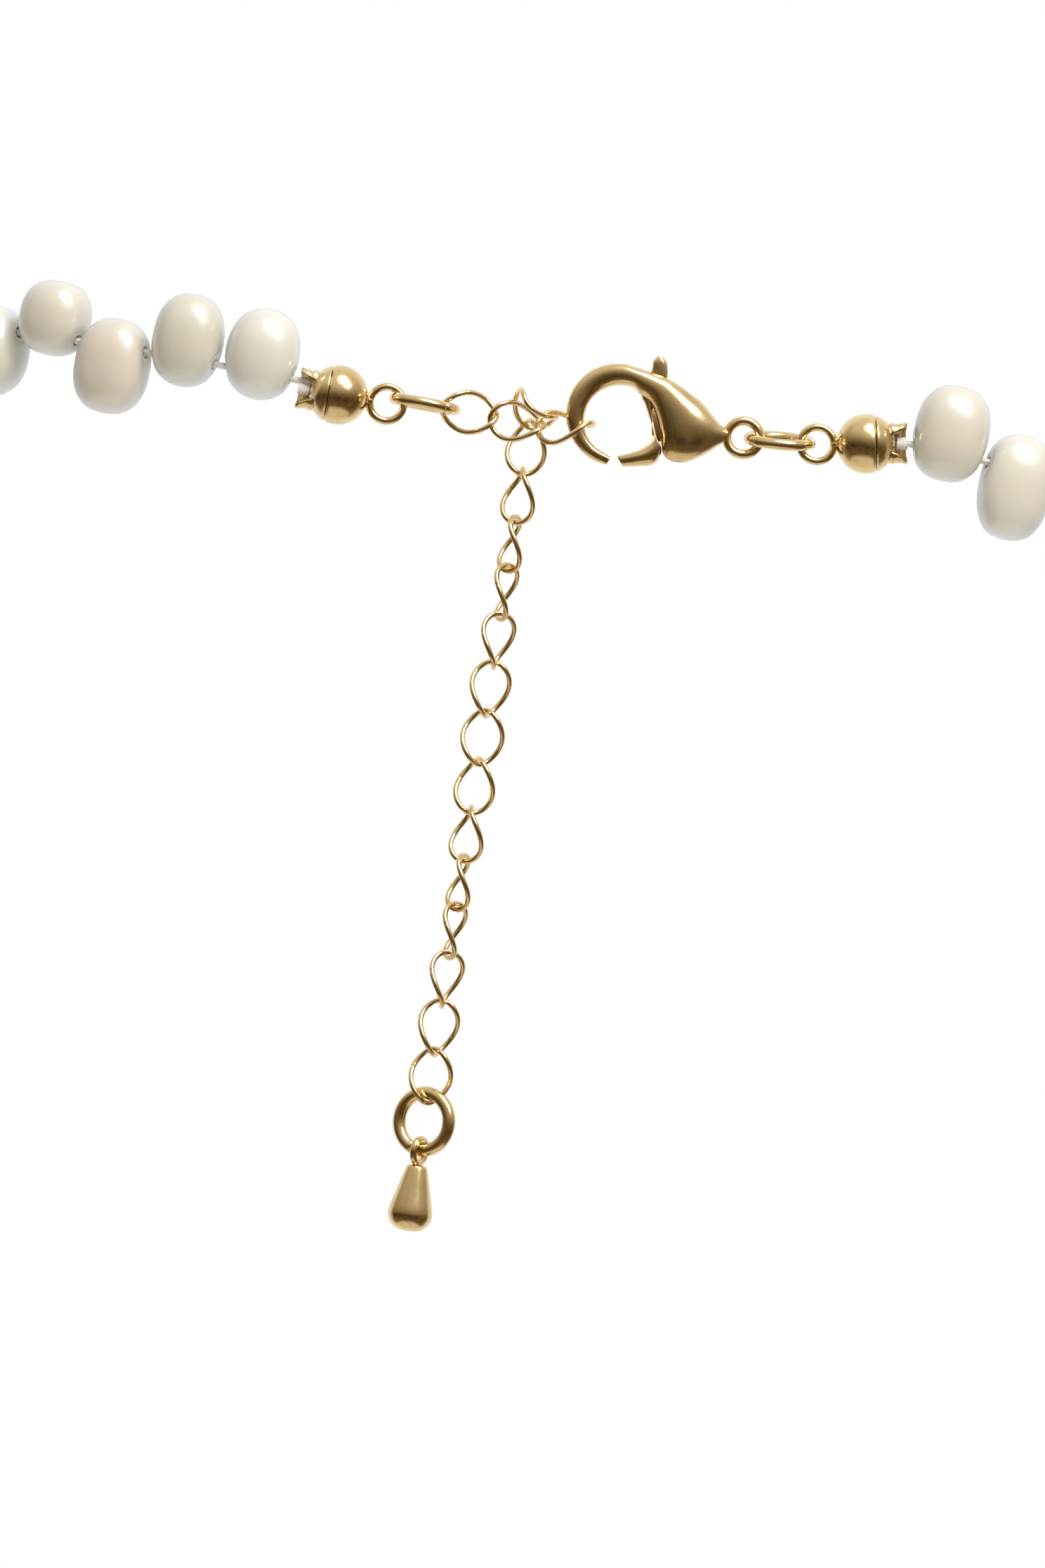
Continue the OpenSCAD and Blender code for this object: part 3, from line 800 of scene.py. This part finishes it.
web_rows = [
    [1.9, 1.0, 2.1, -0.6, 0.4],
    [2.5, 1.05, 2.6, -0.9, 0.44],
    [3.2, 1.02, 3.2, -0.7, 0.44],
    [3.8, 0.8, 3.8, -0.2, 0.4],
]
web_skin = skin(rails(web_rows, 24, 24, 4))
lever_skins = on_clasp([lever_skin, skin(hub_rings), web_skin])
piece("clasp_lever_arm", lever_skins, "clasp_lever", gilt.material)

head = [(-1.22, 0.02), (-1.22, 0.2), (-1.19, 0.33), (-1.12, RIVET_R), (1.12, RIVET_R)]
head += [(1.19, 0.33), (1.22, 0.2), (1.22, 0.02)]
rivet_rings = turned(head, 40)[..., [1, 0, 2]] + rivet_at
piece("clasp_rivet_pin", [skin(rivet_rings)], "clasp_rivet", gilt.material)

# The leaf spring is a bowed strip of thin steel in the slot. It bears on the back of
# the lever and keeps the hook shut.
steel = Finish("spring steel", **{"Metallic": 1.0, "IOR": 2.5})
grain = steel.noise(3.0, 3.0, (6.0, 1.0, 1.0))
steel.set(
    steel.shader,
    {
        "Base Color": steel.mix(grain, (0.42, 0.41, 0.40, 1.0), (0.62, 0.61, 0.59, 1.0)),
        "Roughness": 0.22 + grain * 0.2,
        "Normal": steel.bump(grain, 0.004),
    },
)
leaf_low, leaf_high = (np.array(c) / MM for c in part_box("clasp_spring"))
leaf_mid, leaf_half = (leaf_low + leaf_high) / 2, (leaf_high - leaf_low) / 2
leaf = []
for s in np.linspace(-1, 1, 25):
    bow = leaf_mid[0] + leaf_half[0] * (LEAF_BOW - 2 * LEAF_BOW * s * s)
    z = leaf_mid[2] + s * leaf_half[2]
    x0, x1 = bow - leaf_half[0] * LEAF_THICK, bow + leaf_half[0] * LEAF_THICK
    y = leaf_half[1]
    leaf.append([(x0, -y, z), (x1, -y, z), (x1, y, z), (x0, y, z)])
leaf_skin = skin(np.array(leaf))
leaf_piece = piece("clasp_spring_leaf", [leaf_skin], "clasp_spring", steel.material)
leaf_piece.data.set_sharp_from_angle(angle=math.radians(CAST_EDGE))

# ---- studio ----
# A pale floor below, a white surround, a soft light overhead and a dark side
# behind the camera, which the gold shows as olive brown.

FLOOR_R = 0.55
CAMERA_AWAY = 600
CAMERA_LEAN = 8.65
SEEN_HIGH = 97.2
SEEN_AT = (-1.5, 0.0, -22.66)
FLOOR_BELOW = 0.02
FLOOR_BACK = 0.05
FLOOR_PALE = (0.86, 0.86, 0.86, 1.0)
FLOOR_PALER = (0.9, 0.9, 0.9, 1.0)
LIT_AT = (0, 0, -0.02)
WHITE = (1.0, 1.0, 1.0, 1.0)
BACK_WHITE = (0.95, 0.95, 0.96, 1.0)
STREAK_BROWN = (0.42, 0.27, 0.12, 1.0)

floor_z = cad_box[0][2] - FLOOR_BELOW
floor_mesh = bpy.data.meshes.new("floor")
t = np.linspace(0, 2 * math.pi, 96, endpoint=False)
floor_points = np.stack([FLOOR_R * np.cos(t), FLOOR_R * np.sin(t) + FLOOR_BACK, 0 * t + floor_z], 1)
floor_mesh.from_pydata(floor_points.tolist(), [], [tuple(range(96))])
floor = bpy.data.objects.new("floor", floor_mesh)
bpy.context.collection.objects.link(floor)
pale = Finish("pale floor", **{"Roughness": 0.7})
pale.set(pale.shader, {"Base Color": pale.mix(pale.noise(0.02), FLOOR_PALE, FLOOR_PALER)})
floor_mesh.materials.append(pale.material)


def soft_light(name, place, aim, size, power, colour):
    lamp = bpy.data.lights.new(name, "AREA")
    lamp.shape = "DISK"
    lamp.size = size
    lamp.energy = power
    lamp.color = colour
    obj = bpy.data.objects.new(name, lamp)
    obj.location = place
    obj.rotation_euler = (Vector(aim) - Vector(place)).to_track_quat("-Z", "Y").to_euler()
    bpy.context.collection.objects.link(obj)
    return obj


overhead = soft_light("overhead", (0.06, -0.22, 0.42), LIT_AT, 0.24, 1.5, (1, 0.99, 0.97))
window = soft_light("window", (0.22, -0.3, 0.34), LIT_AT, 0.19, 1.1, (1, 1, 1))
floor.visible_glossy = False

world = bpy.data.worlds.new("white room")
bpy.context.scene.world = world
world.use_nodes = True


class Room(Finish):
    """The surround, built with the same node calls as a finish."""

    def __init__(self, tree):
        self.tree = tree
        tree.nodes.clear()


room = Room(world.node_tree)
way = room.node("ShaderNodeTexCoord", {}, {}, 0)
facing = [room.node("ShaderNodeSeparateXYZ", {}, {0: way}, k) for k in range(3)]
rise = room.node("ShaderNodeMapRange", {}, {0: facing[2], 1: -1.0, 2: 1.0})
behind = room.node("ShaderNodeMapRange", {}, {0: facing[1], 1: 0.15, 2: 0.6})
ramp_stops = [
    (0.0, (0.80, 0.77, 0.70, 1.0)),
    (0.09, (0.70, 0.66, 0.58, 1.0)),
    (0.13, (0.12, 0.09, 0.05, 1.0)),
    (0.40, (0.03, 0.022, 0.012, 1.0)),
    (0.50, (0.10, 0.08, 0.05, 1.0)),
    (0.64, (0.34, 0.31, 0.24, 1.0)),
    (0.80, (0.66, 0.64, 0.58, 1.0)),
    (1.0, (0.85, 0.84, 0.80, 1.0)),
]
front_side = room.node("ShaderNodeValToRGB", {"stops": ramp_stops}, {0: rise})
streaks = room.node("ShaderNodeTexNoise", {}, {"Vector": way, "Scale": 4.5, "Detail": 3.0})
front_side = room.mix(streaks**3 * 1.7 - 0.1, front_side, STREAK_BROWN)
seen = room.mix(behind, front_side, BACK_WHITE)
straight = room.node("ShaderNodeLightPath", {}, {}, 0)
shown = room.mix(straight, seen, WHITE)
glow = room.node("ShaderNodeBackground", {}, {0: shown, 1: 1.0})
room_out = world.node_tree.nodes.new("ShaderNodeOutputWorld")
world.node_tree.links.new(glow.socket, room_out.inputs[0])

lens = bpy.data.cameras.new("camera")
lens.sensor_width = 36
lens.lens = lens.sensor_width * CAMERA_AWAY / SEEN_HIGH
camera = bpy.data.objects.new("camera", lens)
bpy.context.collection.objects.link(camera)
lean = math.radians(CAMERA_LEAN)
rightward = Vector((math.cos(lean), 0, math.sin(lean)))
upward = Vector((-math.sin(lean), 0, math.cos(lean)))
backward = Vector((0, -1, 0))
camera.matrix_world = Matrix.Translation((Vector(SEEN_AT) + backward * CAMERA_AWAY) * MM) @ (
    Matrix((rightward, upward, backward)).transposed().to_4x4()
)
lens.clip_start, lens.clip_end = 0.05, 10
bpy.context.scene.camera = camera
bpy.context.scene.view_settings.view_transform = "Standard"
